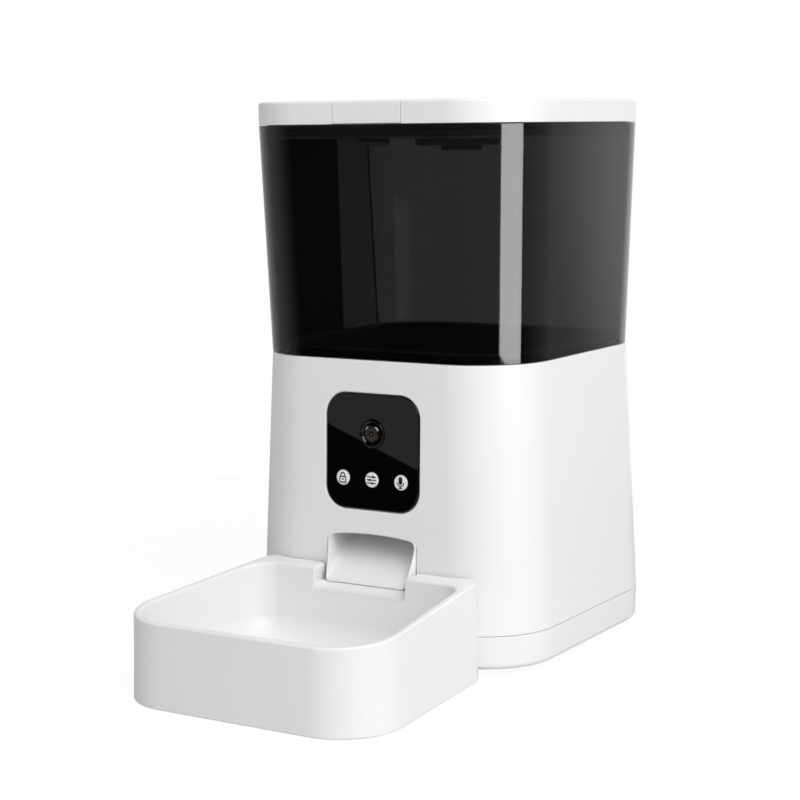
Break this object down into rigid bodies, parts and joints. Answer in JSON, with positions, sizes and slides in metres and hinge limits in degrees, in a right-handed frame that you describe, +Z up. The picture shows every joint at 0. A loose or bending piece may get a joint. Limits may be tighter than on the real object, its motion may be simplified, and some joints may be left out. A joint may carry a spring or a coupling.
{
  "type": "camera pet feeder",
  "caption": "Square pet feeder: smoked food tank with a latched lid on a white body with a camera panel, buttons, metering rotor and chute, and a docked bowl.",
  "frame": {"origin": "On the floor, under the middle of the whole object's bounding box.", "axes": "+Z up, -Y towards the bowl at the front, +X to the viewer's right in front of it."},
  "size_m": [0.1896, 0.326, 0.32],
  "materials": {
    "white_plastic": "satin",
    "black_plastic": "matte",
    "gloss_black": "gloss",
    "smoked_plastic": "smoked, clear",
    "lens_glass": "coated",
    "grey_rubber": "matte",
    "natural_plastic": "satin",
    "circuit_board": "satin",
    "steel": "bright",
    "motor_can": "satin",
    "cell_wrap": "satin",
    "desiccant_plastic": "satin"
  },
  "bodies": {
    "base": {"base_tray": "white_plastic", "body_shell": "white_plastic", "tank_seat": "white_plastic", "chute": "white_plastic", "camera_barrel": "black_plastic", "gearbox_case": "black_plastic", "gearbox_cover": "black_plastic", "battery_box": "black_plastic", "speaker": "black_plastic", "power_inlet": "black_plastic", "front_panel": "gloss_black", "camera_bezel": "gloss_black", "camera_lens": "lens_glass", "foot_1": "grey_rubber", "foot_2": "grey_rubber", "foot_3": "grey_rubber", "foot_4": "grey_rubber", "shaft_bush": "natural_plastic", "camera_board": "circuit_board", "button_board": "circuit_board", "main_board": "circuit_board", "idler_pin": "steel", "contact_front": "steel", "contact_rear": "steel", "base_screw_1": "steel", "base_screw_2": "steel", "base_screw_3": "steel", "base_screw_4": "steel", "deck_screw_1": "steel", "deck_screw_2": "steel", "gearbox_screw_1": "steel", "gearbox_screw_2": "steel", "motor": "motor_can", "battery_1": "cell_wrap", "battery_2": "cell_wrap", "battery_3": "cell_wrap"},
    "tank": {"hopper_tank": "smoked_plastic", "metering_base": "black_plastic", "baffle": "black_plastic", "tank_screw_1": "steel", "tank_screw_2": "steel"},
    "lid": {"lid": "white_plastic", "lid_seal": "grey_rubber", "latch_spring": "steel"},
    "latch": {"latch_button": "white_plastic"},
    "desiccant": {"desiccant_cap": "desiccant_plastic"},
    "rotor": {"rotor": "natural_plastic", "stirrer": "natural_plastic"},
    "output": {"output_gear": "natural_plastic", "drive_shaft": "steel"},
    "idler": {"idler_gear": "natural_plastic"},
    "pinion": {"motor_pinion": "natural_plastic", "motor_shaft": "steel"},
    "bowl": {"bowl": "white_plastic"},
    "lock_button": {"button_lock": "white_plastic"},
    "set_button": {"button_set": "white_plastic"},
    "talk_button": {"button_talk": "white_plastic"},
    "battery_door": {"battery_door": "white_plastic"}
  },
  "joints": [
    {"name": "tank_lift", "type": "slide", "parent": "base", "child": "tank", "axis": [0, 0, 1], "range_m": [0, 0.085]},
    {"name": "lid_lift", "type": "slide", "parent": "tank", "child": "lid", "axis": [0, 0, 1], "range_m": [0, 0.04]},
    {"name": "latch_press", "type": "slide", "parent": "lid", "child": "latch", "axis": [0, 1, 0], "range_m": [0, 0.002], "stiffness_N_per_m": 600, "deforming": ["latch_spring"]},
    {"name": "desiccant_twist", "type": "hinge", "parent": "lid", "child": "desiccant", "pos_m": [0, 0.0822, 0.296], "axis": [0, 0, 1], "range_deg": [0, 45]},
    {"name": "rotor_spin", "type": "hinge", "parent": "tank", "child": "rotor", "pos_m": [0, 0.0682, 0.13], "axis": [0, 0, 1], "continuous": true},
    {"name": "output_spin", "type": "hinge", "parent": "base", "child": "output", "pos_m": [0, 0.0682, 0.092], "axis": [0, 0, 1], "continuous": true},
    {"name": "idler_spin", "type": "hinge", "parent": "base", "child": "idler", "pos_m": [-0.02252, 0.0812, 0.09], "axis": [0, 0, 1], "continuous": true},
    {"name": "pinion_spin", "type": "hinge", "parent": "base", "child": "pinion", "pos_m": [-0.01852, 0.05855, 0.084], "axis": [0, 0, 1], "continuous": true},
    {"name": "bowl_slide", "type": "slide", "parent": "base", "child": "bowl", "axis": [0, -1, 0], "range_m": [0, 0.06]},
    {"name": "lock_press", "type": "slide", "parent": "base", "child": "lock_button", "axis": [0, 0.9994, -0.0356], "range_m": [0, 0.0007], "stiffness_N_per_m": 250},
    {"name": "set_press", "type": "slide", "parent": "base", "child": "set_button", "axis": [0, 0.9994, -0.0356], "range_m": [0, 0.0007], "stiffness_N_per_m": 250},
    {"name": "talk_press", "type": "slide", "parent": "base", "child": "talk_button", "axis": [0, 0.9994, -0.0356], "range_m": [0, 0.0007], "stiffness_N_per_m": 250},
    {"name": "battery_door_slide", "type": "slide", "parent": "base", "child": "battery_door", "axis": [0, 1, 0], "range_m": [0, 0.075]}
  ],
  "couplings": [
    {"joint": "output_spin", "follows": "rotor_spin", "ratio": 1},
    {"joint": "idler_spin", "follows": "rotor_spin", "ratio": -3.3333},
    {"joint": "pinion_spin", "follows": "rotor_spin", "ratio": 12}
  ]
}
